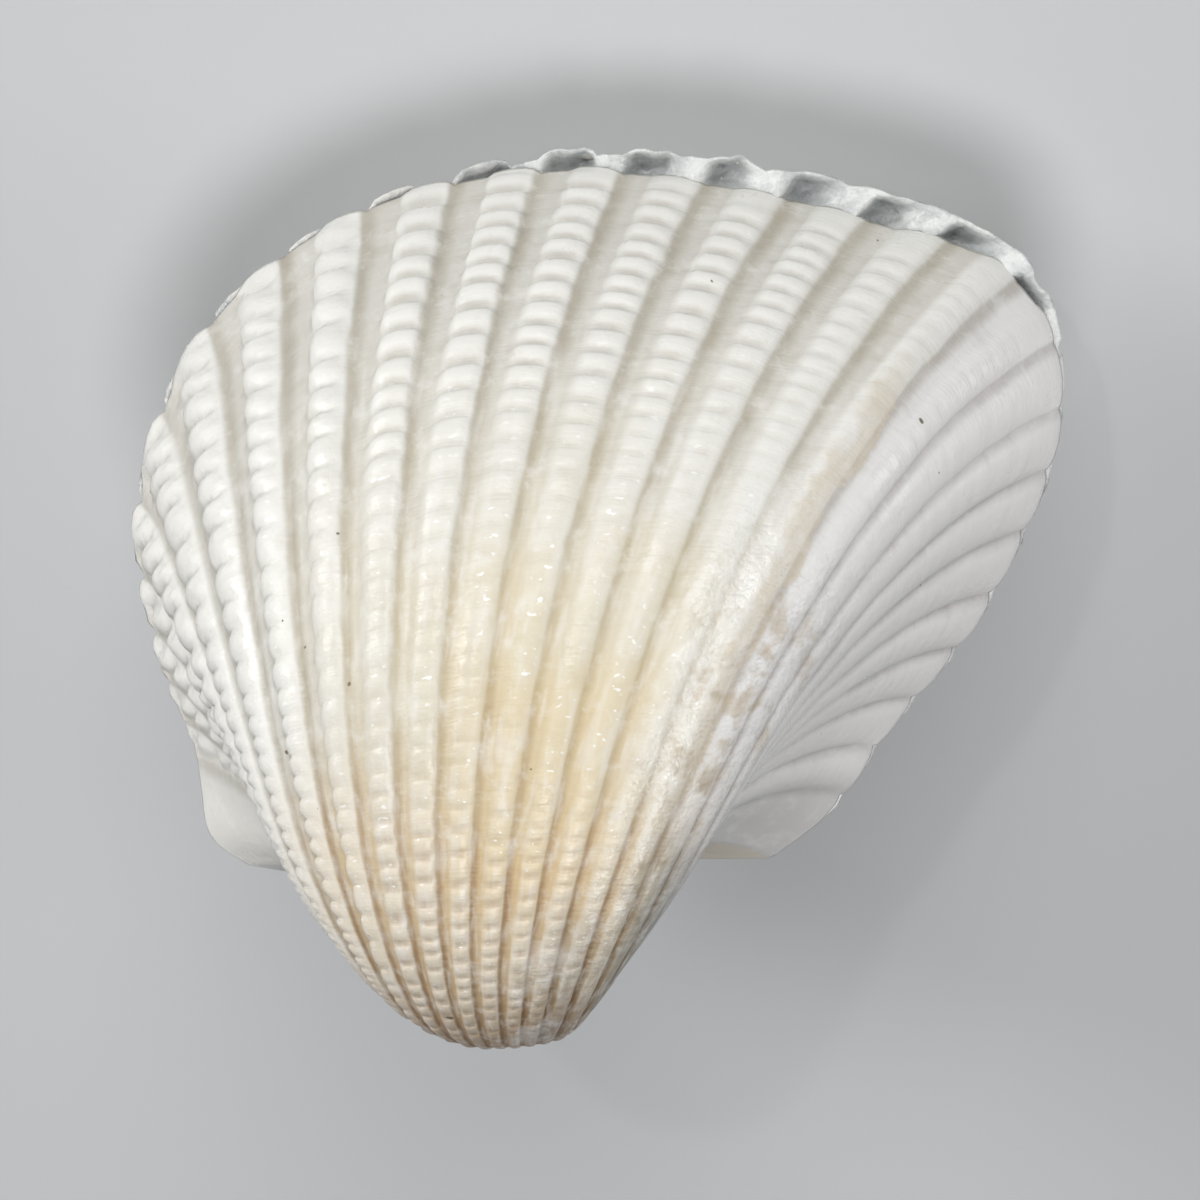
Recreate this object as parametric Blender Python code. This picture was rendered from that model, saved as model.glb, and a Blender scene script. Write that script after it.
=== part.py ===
"""Closed pair of ark clam valves, lying on the cheek of its left valve.

The shell is drawn in its own frame first, in millimetres: X towards the rear of the animal,
Y from the hinge line towards the belly edge, Z out through the right valve. Each valve is one
closed wall. Its outline is swept by a growth spiral that shrinks it and rolls it into the beak.
The pair is then turned into the position in which it comes to rest, and set on the ground.
"""
import math

import bmesh
import bpy
import numpy as np
from mathutils import Matrix, Vector

MM = 0.001

# Outline of the opening, from the front end of the hinge line round the belly to its rear end
OUTLINE = (
    (-23.5, 0.0), (-26.0, 2.0), (-26.8, 7.5), (-28.9, 14.0), (-29.8, 24.0), (-25.5, 34.8),
    (-16.0, 42.3), (-3.5, 45.3), (9.0, 44.0), (20.5, 40.7), (27.4, 36.8), (29.4, 28.5),
    (25.0, 16.8), (18.3, 7.9), (14.8, 3.0), (10.5, 0.0),
)
OUTLINE_SAMPLES = 40

# Growth spiral: the outline shrinks towards this point while it turns about this axis
SPIRAL_CENTRE = np.array((-5.8, -3.7, 7.1))
SPIRAL_AXIS = Vector((1.0, -0.09, 0.16)).normalized()
SHRINK_RATE = 0.61
SHRINK_GAIN = 0.039
DEPTH_FACTOR = 0.88
BEAK_TURN = 4.4

# Ribs: where the first one ends, and the pitch from one to the next at a few of them
RIB_COUNT = 26
FIRST_RIB_FOOT = 11.1
RIB_PITCH_RANKS = (0, 2, 4.3, 7, 10, 14, 17.5, 20, 24)
RIB_PITCHES = (2.8, 3.8, 6.5, 6.3, 5.35, 5.35, 3.9, 4.5, 3.9)
RIB_DEPTH = 1.1
RIB_TOP_START = 0.36
RIB_TOP_END = 0.86
LEFT_RIB_SHIFT = 0.5

# Walls and clearances
WALL = 3.0
HINGE_WALL = 5.0
HOLLOW_TURN = 1.45
EDGE_CLEARANCE = 0.15
LEFT_OVERLAP = 1.0

# Mesh density
SWEEP_ROWS = 17
SWEEP_CROWDING = 1.15
HOLLOW_ROWS = 7
HINGE_COLUMNS = 8
EAR_STEP = 3.0

# Ligament: a thin dried band over the hinge line, between the two beaks
LIGAMENT_FRONT = -17.0
LIGAMENT_REAR = 4.0
LIGAMENT_TURN = 0.4
LIGAMENT_END_TURN = 0.06
LIGAMENT_THICKNESS = 0.5
LIGAMENT_GAP = 0.2
LIGAMENT_STATIONS = 12
LIGAMENT_ACROSS = (-1.0, -0.55, 0.0, 0.55, 1.0)

# Turn about the shell's own X axis, then Y axis, that lays the pair on its left cheek, in degrees
REST_PITCH = -24.0
REST_ROLL = 0.0

# Colour and roughness of each piece
FINISHES = {
    "right_valve": ((0.74, 0.70, 0.60), 0.38),
    "left_valve": ((0.76, 0.73, 0.66), 0.42),
    "ligament": ((0.09, 0.05, 0.03), 0.7),
}


def clear_scene():
    for obj in list(bpy.data.objects):
        bpy.data.objects.remove(obj, do_unlink=True)


def smooth_outline():
    """Centripetal Catmull-Rom curve through the outline, as running lengths and points."""
    ends = np.array(OUTLINE)
    knots = np.vstack((2 * ends[0] - ends[1], ends, 2 * ends[-1] - ends[-2]))
    gaps = np.sqrt(np.linalg.norm(np.diff(knots, axis=0), axis=1))
    times = np.concatenate(((0.0,), np.cumsum(gaps)))
    points = []
    for i in range(1, len(knots) - 2):
        for time in np.linspace(times[i], times[i + 1], OUTLINE_SAMPLES, endpoint=False):
            points.append(curve_point(knots[i - 1:i + 3], times[i - 1:i + 3], time))
    points.append(ends[-1])
    points = np.array(points)
    steps = np.linalg.norm(np.diff(points, axis=0), axis=1)
    return np.concatenate(((0.0,), np.cumsum(steps))), points


def curve_point(knots, times, time):
    """One point of the curve by repeated linear blending of four knots."""
    level = list(knots)
    for reach in (1, 2, 3):
        blended = []
        for i in range(len(level) - 1):
            start = i if reach < 3 else 1
            end = i + reach if reach < 3 else 2
            share = (time - times[start]) / (times[end] - times[start])
            blended.append(level[i] * (1 - share) + level[i + 1] * share)
        level = blended
    return level[0]


LENGTHS, CURVE = smooth_outline()
EDGE_LENGTH = float(LENGTHS[-1])


def outline_point(length):
    return np.array((np.interp(length, LENGTHS, CURVE[:, 0]), np.interp(length, LENGTHS, CURVE[:, 1])))


def outline_normal(length):
    """Unit vector in the plane of the opening, pointing out of the shell."""
    run = outline_point(min(length + 0.5, EDGE_LENGTH)) - outline_point(max(length - 0.5, 0.0))
    run = run / np.linalg.norm(run)
    return np.array((-run[1], run[0]))


def rib_feet():
    """Running lengths of the grooves that end the ribs."""
    feet = [FIRST_RIB_FOOT]
    for rank in range(RIB_COUNT - 1):
        feet.append(feet[-1] + float(np.interp(rank, RIB_PITCH_RANKS, RIB_PITCHES)))
    return feet


def edge_columns(shift):
    """Running length and height of each column round the free edge.

    A rib takes three columns: a groove and the two shoulders of its flat top. The shift moves
    every rib by a share of its pitch, so that the ribs of one valve meet the grooves of the other.
    """
    feet = rib_feet()
    starts = [feet[0] - RIB_PITCHES[0]] + feet[:-1]
    columns = []
    for start, end in zip(starts, feet):
        pitch = end - start
        groove = start + shift * pitch
        columns.append((groove, -RIB_DEPTH))
        columns.append((groove + RIB_TOP_START * pitch, 0.0))
        columns.append((groove + RIB_TOP_END * pitch, 0.0))
    columns.append((feet[-1] + shift * pitch, -RIB_DEPTH))
    front = columns[0][0]
    rear = columns[-1][0]
    front_steps = max(1, round(front / EAR_STEP))
    rear_steps = max(1, round((EDGE_LENGTH - rear) / EAR_STEP))
    front_ear = [(front * i / front_steps, -RIB_DEPTH) for i in range(front_steps)]
    rear_ear = [(rear + (EDGE_LENGTH - rear) * i / rear_steps, -RIB_DEPTH) for i in range(1, rear_steps + 1)]
    return front_ear + columns + rear_ear


def opening_ring(columns, overlap):
    """Ring of points in the plane of the opening: the free edge, then back along the hinge line."""
    ring = []
    for length, height in columns:
        belly = math.sin(math.pi * length / EDGE_LENGTH)
        x, y = outline_point(length) + outline_normal(length) * (height + overlap * belly)
        ring.append((x, max(y, 0.0)))
    front = np.array(ring[0])
    rear = np.array(ring[-1])
    for i in range(1, HINGE_COLUMNS):
        ring.append(tuple(rear + (front - rear) * i / HINGE_COLUMNS))
    return np.array(ring)


def shrink(turn):
    return math.exp(-SHRINK_RATE * turn - SHRINK_GAIN * turn ** 2)


def roll_into_beak(ring, turn):
    """Points of the opening's plane after the spiral has turned them by an angle, in the right valve."""
    spin = np.array(Matrix.Rotation(turn, 3, SPIRAL_AXIS))
    flat = np.column_stack((ring, np.zeros(len(ring))))
    swept = SPIRAL_CENTRE + shrink(turn) * (flat - SPIRAL_CENTRE) @ spin.T
    swept[:, 2] = swept[:, 2] * DEPTH_FACTOR + EDGE_CLEARANCE
    return swept


def hollow_ring(ring, turn):
    """The ring drawn inwards by the wall, which keeps its thickness as the ring shrinks."""
    middle = ring.mean(axis=0)
    reach = np.abs(ring - middle).max(axis=0).min()
    inner = ring + (middle - ring) * WALL / (reach * shrink(turn))
    on_hinge = ring[:, 1] < LIGAMENT_GAP
    inner[on_hinge, 1] += (HINGE_WALL - WALL) / shrink(turn)
    return inner


def add_ring(bm, points):
    return [bm.verts.new(point) for point in points]


def bridge(bm, lower, upper):
    for i in range(len(lower)):
        j = (i + 1) % len(lower)
        bm.faces.new((lower[i], lower[j], upper[j], upper[i]))


def close_ring(bm, ring):
    """A fan from the ring to its middle."""
    middle = bm.verts.new(np.mean([vert.co for vert in ring], axis=0))
    for i in range(len(ring)):
        bm.faces.new((ring[i], ring[(i + 1) % len(ring)], middle))


def finish_mesh(name, bm):
    bmesh.ops.triangulate(bm, faces=bm.faces)
    bmesh.ops.recalc_face_normals(bm, faces=bm.faces)
    mesh = bpy.data.meshes.new(name)
    bm.to_mesh(mesh)
    bm.free()
    return mesh


def valve_mesh(name, shift, overlap, mirrored):
    """One valve as a closed wall: the outer sweep, the edge that meets the other valve, the hollow."""
    columns = edge_columns(shift)
    ribbed = opening_ring(columns, overlap)
    smooth = opening_ring([(length, -RIB_DEPTH) for length, _ in columns], overlap)
    bm = bmesh.new()
    outer = []
    for row in range(SWEEP_ROWS + 1):
        turn = BEAK_TURN * (row / SWEEP_ROWS) ** SWEEP_CROWDING
        outer.append(add_ring(bm, roll_into_beak(ribbed, turn)))
    inner = []
    for row in range(HOLLOW_ROWS + 1):
        turn = HOLLOW_TURN * row / HOLLOW_ROWS
        inner.append(add_ring(bm, roll_into_beak(hollow_ring(smooth, turn), turn)))
    rings = inner[::-1] + outer
    for lower, upper in zip(rings, rings[1:]):
        bridge(bm, lower, upper)
    close_ring(bm, rings[0])
    close_ring(bm, rings[-1])
    if mirrored:
        bmesh.ops.scale(bm, vec=(1, 1, -1), verts=bm.verts)
    return finish_mesh(name, bm)


def ligament_section(station):
    """Lower and upper points of the band at one station, following both hinge walls."""
    share = station / LIGAMENT_STATIONS
    x = LIGAMENT_FRONT + (LIGAMENT_REAR - LIGAMENT_FRONT) * share
    reach = LIGAMENT_END_TURN + LIGAMENT_TURN * math.sin(math.pi * share)
    lower = []
    upper = []
    for across in LIGAMENT_ACROSS:
        point = Vector(roll_into_beak(np.array(((x, 0.0),)), abs(across) * reach)[0])
        point.z = math.copysign(point.z, across) if across else 0.0
        lower.append(point - Vector((0, LIGAMENT_GAP, 0)))
        upper.append(point - Vector((0, LIGAMENT_GAP + LIGAMENT_THICKNESS, 0)))
    return lower + upper[::-1]


def ligament_mesh(name):
    bm = bmesh.new()
    sections = [add_ring(bm, ligament_section(i)) for i in range(LIGAMENT_STATIONS + 1)]
    for front, rear in zip(sections, sections[1:]):
        bridge(bm, front, rear)
    bm.faces.new(sections[0])
    bm.faces.new(sections[-1])
    return finish_mesh(name, bm)


def make_material(name):
    colour, roughness = FINISHES[name]
    material = bpy.data.materials.new(name)
    material.use_nodes = True
    shader = material.node_tree.nodes["Principled BSDF"]
    shader.inputs["Base Color"].default_value = (*colour, 1.0)
    shader.inputs["Roughness"].default_value = roughness
    shader.inputs["Metallic"].default_value = 0.0
    return material


def add_object(name, mesh):
    obj = bpy.data.objects.new(name, mesh)
    bpy.context.collection.objects.link(obj)
    mesh.materials.append(make_material(name))
    return obj


def lay_down(pieces):
    """Turn the pair onto its left cheek, and put the middle of its footprint at the origin."""
    pitch = Matrix.Rotation(math.radians(REST_PITCH), 4, "X")
    roll = Matrix.Rotation(math.radians(REST_ROLL), 4, "Y")
    for piece in pieces:
        piece.data.transform(roll @ pitch @ Matrix.Scale(MM, 4))
    points = np.array([vert.co for piece in pieces for vert in piece.data.vertices])
    low = points.min(axis=0)
    high = points.max(axis=0)
    middle = (low + high) / 2
    for piece in pieces:
        piece.data.transform(Matrix.Translation((-middle[0], -middle[1], -low[2])))


def main():
    clear_scene()
    lay_down((
        add_object("right_valve", valve_mesh("right_valve", 0.0, 0.0, mirrored=False)),
        add_object("left_valve", valve_mesh("left_valve", LEFT_RIB_SHIFT, LEFT_OVERLAP, mirrored=True)),
        add_object("ligament", ligament_mesh("ligament")),
    ))


main()
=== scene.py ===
"""Looks of a closed pair of ark clam valves, lying on the cheek of its left valve.

The shell is drawn in its own frame first, in millimetres: X towards the rear of the animal,
Y from the hinge line towards the belly edge, Z out through the right valve. A valve is one grid.
Its columns run round the opening, ten or seven to a rib, and its rows follow the growth from the
edge back into the beak. Ribs, beads and creases are heights on that grid. The same two coordinates,
rib number and growth turn, are kept as a UV map, which the colours follow.
"""

import math

import bpy
import numpy as np
from mathutils import Matrix, Vector


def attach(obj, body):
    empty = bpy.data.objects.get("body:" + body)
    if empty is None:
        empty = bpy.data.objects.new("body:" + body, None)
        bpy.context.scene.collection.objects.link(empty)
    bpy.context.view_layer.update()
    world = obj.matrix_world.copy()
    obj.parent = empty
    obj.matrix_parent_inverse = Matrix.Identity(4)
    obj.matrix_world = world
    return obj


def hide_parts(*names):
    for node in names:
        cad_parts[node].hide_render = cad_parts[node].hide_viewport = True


MM = 0.001

# ---- the shell's form, as in the CAD part --------------------------------------------------

# Outline of the opening, from the front end of the hinge line round the belly to its rear end
OUTLINE = (
    (-23.5, 0.0), (-26.0, 2.0), (-26.8, 7.5), (-28.9, 14.0), (-29.8, 24.0), (-25.5, 34.8),
    (-16.0, 42.3), (-3.5, 45.3), (9.0, 44.0), (20.5, 40.7), (27.4, 36.8), (29.4, 28.5),
    (25.0, 16.8), (18.3, 7.9), (14.8, 3.0), (10.5, 0.0),
)
OUTLINE_SAMPLES = 40

# Growth spiral: the outline shrinks towards this point while it turns about this axis
SPIRAL_CENTRE = np.array((-5.8, -3.7, 7.1))
SPIRAL_AXIS = np.array((1.0, -0.09, 0.16)) / np.linalg.norm((1.0, -0.09, 0.16))
SHRINK_RATE = 0.61
SHRINK_GAIN = 0.039
DEPTH_FACTOR = 0.88
BEAK_TURN = 4.4

# Ribs: where the first one ends, and the pitch from one to the next at a few of them
RIB_COUNT = 26
FIRST_RIB_FOOT = 11.1
RIB_PITCH_RANKS = (0, 2, 4.3, 7, 10, 14, 17.5, 20, 24)
RIB_PITCHES = (2.8, 3.8, 6.5, 6.3, 5.35, 5.35, 3.9, 4.5, 3.9)
LEFT_RIB_SHIFT = 0.65

# Pitch with which the rib number runs on over the front and the rear ear
FRONT_EAR_PITCH = 3.0
REAR_EAR_PITCH = 4.0

# How far the left valve's edge reaches past the outline, at a few lengths round the edge
OVERLAP_LENGTHS = (
    12.0, 30.0, 45.0, 51.0, 57.0, 63.0, 68.0, 72.0, 90.0, 94.0, 100.0, 104.0, 112.0, 126.0)
OVERLAPS = (-0.3, -0.25, -0.12, 0.08, 0.38, 1.0, 1.3, 1.7, 2.05, 1.7, 0.9, 0.5, 0.25, 0.0)

# How far the right valve's edge turns up past the outline, and the turn where it starts to
LIFT_LENGTHS = (86.0, 88.5, 93.0, 95.3, 97.0, 99.0, 102.0, 106.0, 112.0, 126.0)
LIFTS = (0.0, 0.5, 0.6, 0.35, 0.55, 0.7, 0.6, 0.35, 0.2, 0.0)
LIFT_TURN = 0.3

# How far the ears stand below the outline, at a few lengths round the edge
EAR_LENGTHS = (0.0, 2.0, 6.0, 9.0, 130.0, 133.0, 139.0)
EAR_DEPTHS = (-0.1, -0.1, 0.1, -0.1, 0.6, 0.3, -0.2)

# How far the hinge line dips towards the beaks, at a few places along it
HINGE_DIP_PLACES = (-23.7, -20.5, -12.0, -4.0)
HINGE_DIPS = (0.1, 0.6, 0.6, 0.0)

# Walls and clearances
WALL = 3.0
HINGE_WALL = 5.0
HOLLOW_TURN = 1.45
EDGE_CLEARANCE = 0.04

# Turn about the shell's own X axis that lays the pair on its cheek, and its place on the ground
REST_PITCH = -24.0
REST_PLACE = (0.1214, -14.1631, 29.2955)

# ---- relief ----------------------------------------------------------------------------------

# Columns of one rib, as shares of its pitch, from the groove in front of it
RIB_COLUMNS = (0.0, 0.08, 0.20, 0.31, 0.38, 0.46, 0.56, 0.68, 0.82, 0.92)
FINE_RIB_COLUMNS = (0.0, 0.09, 0.20, 0.34, 0.55, 0.76, 0.92)
FIRST_FINE_RIB = 18
EAR_COLUMNS = 10
HINGE_COLUMNS = 15
HINGE_RIB_STEP = 0.5

# Shape of a rib at a few ribs: the shares of its pitch between which it rises, where it starts to
# fall and how steeply, the depth of its groove, the crease in the groove, the height of its top
SHAPE_RANKS = (0, 2, 4, 6, 7, 8, 9, 10, 11, 12, 15, 16, 17, 18, 19, 22, 25)
RISE_START = (
    0.0, 0.02, 0.04, 0.20, 0.34, 0.39, 0.38, 0.36, 0.32, 0.30, 0.29, 0.30, 0.34, 0.02, 0.0, 0.0,
    0.0)
RISE_END = (
    0.30, 0.20, 0.20, 0.38, 0.51, 0.53, 0.51, 0.49, 0.47, 0.46, 0.46, 0.62, 0.52, 0.34, 0.32, 0.30,
    0.30)
FALL_START = (
    0.70, 0.80, 0.84, 0.80, 0.78, 0.83, 0.86, 0.84, 0.77, 0.70, 0.66, 0.60, 0.80, 0.62, 0.60, 0.60,
    0.60)
FALL_POWER = (1.6, 1.6, 1.6, 1.4, 1.5, 1.8, 1.8, 1.6, 1.3, 1.3, 1.3, 1.4, 1.5, 1.6, 1.6, 1.6, 1.6)
FLOOR_DEPTH = (
    0.0, 0.12, 0.45, 0.68, 0.80, 0.82, 0.75, 0.68, 0.62, 0.60, 0.55, 0.55, 0.50, 0.38, 0.30, 0.29,
    0.36)
CREASE_DEPTH = (
    0.03, 0.12, 0.16, 0.12, 0.12, 0.16, 0.18, 0.16, 0.12, 0.10, 0.10, 0.05, 0.10, 0.16, 0.18, 0.20,
    0.18)
TOP_HEIGHT = (
    0.25, 0.50, 0.70, 0.55, 0.40, 0.30, 0.22, 0.15, 0.07, 0.0, 0.0, 0.0, 0.0, 0.05, 0.15, 0.25,
    0.10)

# The middle of a rib's top as a share of the pitch, how much lower the sides of the top are, what
# a knob adds to that, and half the width of a crease
RIB_MIDDLE = 0.66
TOP_CROWN = 0.06
KNOB_CROWN = 0.1
CREASE_REACH = 0.05

# Swelling of both flanks of the beak: rib, width in ribs, height
BEAK_SWELLS = ((4.8, 2.6, 1.2), (19.5, 2.4, 1.5))
BEAK_SWELL_TURN = 1.35
BEAK_SWELL_SPREAD = 0.42

# How much of a groove's depth is lost at the edge of the left and of the right valve, as pairs of
# rib and share, and the turn by which the left and the right valve's grooves have their full depth
LEFT_FLARES = ((7.0, 0.0), (10.0, 0.2), (13.0, 0.25), (14.5, 0.8), (18.0, 0.8), (20.0, 0.2))
RIGHT_FLARES = (
    (2.0, 0.3), (4.0, 0.85), (8.0, 0.9), (9.5, 0.7), (11.0, 0.45), (15.0, 0.5), (17.0, 0.4),
    (20.0, 0.2))
FLARE_TURNS = (0.07, 0.12)

# Shares of the pitch between which the left valve's ribs rise at its edge
EDGE_RISE = (0.30, 0.44)

# Half way to the beak the ribs are wider and rubbed low: the turns between which this comes, how
# much of it a few ribs get, and where within its pitch a widened rib rises
MIDDLE_TURNS = (0.10, 0.60)
MIDDLE_RANKS = (5, 8, 10, 12)
MIDDLE_SHARES = (0.3, 0.45, 0.7, 1.0)
MIDDLE_RISE = (0.10, 0.52)
MIDDLE_DEPTH_LOSS = 0.22

# At the beak the ribs are round rods: the turns between which they become so, how much earlier
# the rear ones do, and at a few ribs the share that the groove takes and what its depth gains
BEAK_TURNS = (1.25, 1.85)
BEAK_LEAD = 0.3
BEAK_LEAD_RANKS = (9.0, 12.0)
ROD_RANKS = (3, 7, 16, 18)
ROD_GROOVES = (0.08, 0.30, 0.30, 0.10)
ROD_DEPTH_GAINS = (-0.35, 0.5, 0.5, 0.5)

# Chips and peaks of the left valve's edge: length round the edge, half width, height
EDGE_CHIPS = (
    (64.8, 0.7, -0.15), (70.1, 0.8, -0.25), (75.2, 0.45, 0.5), (76.9, 0.9, -0.2),
    (82.6, 0.8, -0.2), (85.2, 0.6, -0.15), (87.9, 0.7, 0.2), (91.0, 0.5, -0.15),
    (93.6, 0.4, 0.15), (95.4, 0.8, -0.5), (99.4, 0.6, -0.35), (102.6, 0.6, -0.3),
    (105.9, 0.5, -0.25),
)

# Beads along a rib at a few ribs: turn of growth from one to the next, height, and how far a bead
# bulges sideways over the groove in front of it. A knob is a dome on the rib, a bar runs right
# across it, and roundness goes from 0 for a bar to 1 for a knob. A row of beads begins at a turn
# of its own, so that the last bit at the edge is smooth
BEAD_RANKS = (0, 2, 3, 4, 7, 8, 9, 10, 12, 14, 15, 16, 17, 18, 25)
BEAD_STEPS = (
    0.105, 0.105, 0.100, 0.094, 0.056, 0.050, 0.043, 0.039, 0.035, 0.032, 0.030, 0.028, 0.03, 0.04,
    0.04)
BEAD_HEIGHTS = (
    0.50, 0.90, 1.10, 1.18, 1.05, 0.92, 0.64, 0.50, 0.34, 0.22, 0.13, 0.06, 0.03, 0.02, 0.02)
BEAD_BULGES = (0.20, 0.36, 0.42, 0.40, 0.26, 0.14, 0.06, 0.03, 0.02, 0.01, 0.0, 0.0, 0.0, 0.0, 0.0)
BEAD_ROUNDNESS = (0.9, 1.0, 1.0, 1.0, 1.0, 0.9, 0.4, 0.2, 0.1, 0.0, 0.0, 0.0, 0.0, 0.0, 0.0)
BEAD_STARTS = (0.0, 0.0, 0.0, 0.0, 0.0, 0.0, 0.0, 0.0, 0.018, 0.042, 0.055, 0.06, 0.06, 0.06, 0.06)

# Knobs at a few ribs: the share of the pitch where their middle lies, how far they reach to its
# sides, and how slantwise they stand. Half the length of a knob is a share of its step
KNOB_RANKS = (4, 7, 9)
KNOB_MIDDLES = (0.50, 0.58, 0.58)
KNOB_REACHES = (0.46, 0.31, 0.30)
KNOB_SLANTS = (0.14, 0.07, 0.0)
KNOB_HALF_LENGTH = 0.52

# How much wider than at the edge the step of bars and of knobs is, at a few turns, and the ribs
# between which the one way of growing passes into the other
BEAD_GROWTH_RANKS = (5, 8)
BEAD_GROWTH_TURNS = (0.0, 0.2, 0.45, 0.9, 1.2, 1.5, 1.9)
BAR_GROWTH = (1.0, 1.12, 1.15, 1.15, 1.42, 1.70, 2.10)
KNOB_GROWTH = (1.0, 1.08, 0.90, 0.76, 0.62, 0.54, 0.55)

# What sets the random draws of each valve
RIGHT_SEED = 7
LEFT_SEED = 11

# How a row of beads wanders off its even step: waves per turn of growth, share of a step
BEAD_WANDER = ((9.0, 0.30), (23.0, 0.10), (61.0, 0.045))

# How much of their height the beads lose half way, at a few ribs
WEAR_RANKS = (0, 6, 8, 10, 12, 25)
MIDDLE_WEAR = (0.05, 0.40, 0.60, 0.75, 0.85, 0.95)

# Growth rows: (turn where a stretch ends, rows in it)
GROWTH_STRETCHES = ((0.5, 100), (1.2, 108), (2.1, 102), (BEAK_TURN, 40))

# The edge where the valves meet: its rows as shares of the way in, the last bit of the outside
# that is rounded, the waves of the edge, its roughness, and its sockets at a few ribs
EDGE_SHARES = (0.04, 0.10, 0.20, 0.36, 0.52, 0.7, 0.86)
LIP_DROP = 0.12
LIP_TURN = 0.02
MARGIN_WAVE = 0.3
MARGIN_WAVE_TURN = 0.05
EDGE_ROUGHNESS = 0.17
SOCKET_RANKS = (2.0, 6.0, 8.5, 10.0, 11.0, 16.0, 18.0, 20.0)
SOCKET_DEPTHS = (0.3, 0.4, 0.5, 0.8, 1.4, 1.7, 0.8, 0.3)

# The hollow: its rows, how far in from the outline it starts, how near the hinge line the wall is
# thicker, and its share of the edge's waves
HOLLOW_ROWS = 9
HOLLOW_INSET = 1.1
NEAR_HINGE = 0.2
HOLLOW_WAVE = 0.3

# Ligament: a dried band over the hinge line, between the two beaks
LIGAMENT_FRONT = -17.0
LIGAMENT_REAR = 4.0
LIGAMENT_TURN = 0.4
LIGAMENT_END_TURN = 0.06
LIGAMENT_THICKNESS = 0.5
LIGAMENT_GAP = 0.2
LIGAMENT_STATIONS = 240
LIGAMENT_HALF_COLUMNS = 22
LIGAMENT_SEED = 23
BORDER_WAVES = ((2.1, 0.04), (5.3, 0.03), (11.0, 0.02))
WRINKLE_HEIGHT = 0.09
WRINKLE_PITCH = 0.62
WRINKLE_SLANT = 1.6

# The hinge area: V-shaped grooves below each beak, their slope, how far apart a turn of growth
# puts two points there, and their pitch
CHEVRON_SLOPE = 0.35
CHEVRON_TURN = 9.0
CHEVRON_PITCH = 1.15

# Material slots of a valve
OUTSIDE, INSIDE, HINGE = 0, 1, 2

# ---- colours ---------------------------------------------------------------------------------

RIDGE_WHITE = (0.82, 0.81, 0.765, 1.0)
RIDGE_CREAM = (0.72, 0.685, 0.585, 1.0)
RIDGE_TAN = (0.79, 0.71, 0.58, 1.0)
FLANK_WHITE = (0.80, 0.785, 0.775, 1.0)
GROOVE_GREY = (0.60, 0.58, 0.52, 1.0)
GROOVE_CREAM = (0.66, 0.60, 0.47, 1.0)
GROOVE_TAN = (0.60, 0.46, 0.27, 1.0)
FOOT_GREY = (0.40, 0.36, 0.28, 1.0)
FOOT_CREAM = (0.50, 0.425, 0.28, 1.0)
FOOT_BROWN = (0.33, 0.20, 0.10, 1.0)
FLANK_FOOT = (0.42, 0.385, 0.375, 1.0)
LIGAMENT_BROWN = (0.075, 0.045, 0.028, 1.0)
LIGAMENT_BLACK = (0.022, 0.016, 0.013, 1.0)
LIGAMENT_FIBRE = (0.19, 0.125, 0.075, 1.0)
HINGE_CHALK = (0.66, 0.62, 0.55, 1.0)
HINGE_STAIN = (0.34, 0.25, 0.16, 1.0)
BEAK_BROWN = (0.54, 0.44, 0.36, 1.0)
FURROW_TAN = (0.64, 0.56, 0.43, 1.0)
STAIN_TAN = (0.50, 0.41, 0.29, 1.0)
PIT_BROWN = (0.20, 0.16, 0.11, 1.0)
YOLK_TINT = (1.0, 0.925, 0.77, 1.0)
PAINTED_SHADE_GREY = (0.45, 0.455, 0.46, 1.0)
CHALK_WHITE = (0.86, 0.85, 0.82, 1.0)
# White of the chalky wear and the scar, and of the painted highlights on the rib tops
CHALK_AND_GLINT_WHITE = (0.97, 0.97, 0.95, 1.0)
EDGE_CREAM = (0.82, 0.80, 0.755, 1.0)
PORCELAIN = (0.80, 0.82, 0.81, 1.0)
PORCELAIN_GREY = (0.56, 0.60, 0.63, 1.0)
RIM_GREY = (0.44, 0.46, 0.46, 1.0)
SOCKET_SHADE_GREY = (0.27, 0.29, 0.29, 1.0)
GROUND_GREY = (0.62, 0.63, 0.64, 1.0)
STUDIO_WHITE = (0.92, 0.95, 1.0, 1.0)
STUDIO_STRENGTH = 0.04


def smooth_step(low, high, value):
    share = np.clip((value - low) / (high - low), 0.0, 1.0)
    return share * share * (3.0 - 2.0 * share)


def smooth_fall(low, high, value):
    return 1.0 - smooth_step(low, high, value)


# ---- outline and ribs ------------------------------------------------------------------------

def curve_point(knots, times, time):
    """One point of the centripetal curve by repeated linear blending of four knots."""
    level = list(knots)
    for reach in (1, 2, 3):
        blended = []
        for i in range(len(level) - 1):
            start = i if reach < 3 else 1
            end = i + reach if reach < 3 else 2
            share = (time - times[start]) / (times[end] - times[start])
            blended.append(level[i] * (1 - share) + level[i + 1] * share)
        level = blended
    return level[0]


def smooth_outline():
    """Curve through the outline, as running lengths and points."""
    ends = np.array(OUTLINE)
    knots = np.vstack((2 * ends[0] - ends[1], ends, 2 * ends[-1] - ends[-2]))
    gaps = np.sqrt(np.linalg.norm(np.diff(knots, axis=0), axis=1))
    times = np.concatenate(((0.0,), np.cumsum(gaps)))
    points = []
    for i in range(1, len(knots) - 2):
        for time in np.linspace(times[i], times[i + 1], OUTLINE_SAMPLES, endpoint=False):
            points.append(curve_point(knots[i - 1:i + 3], times[i - 1:i + 3], time))
    points.append(ends[-1])
    points = np.array(points)
    steps = np.linalg.norm(np.diff(points, axis=0), axis=1)
    return np.concatenate(((0.0,), np.cumsum(steps))), points


LENGTHS, CURVE = smooth_outline()
EDGE_LENGTH = float(LENGTHS[-1])


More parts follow.
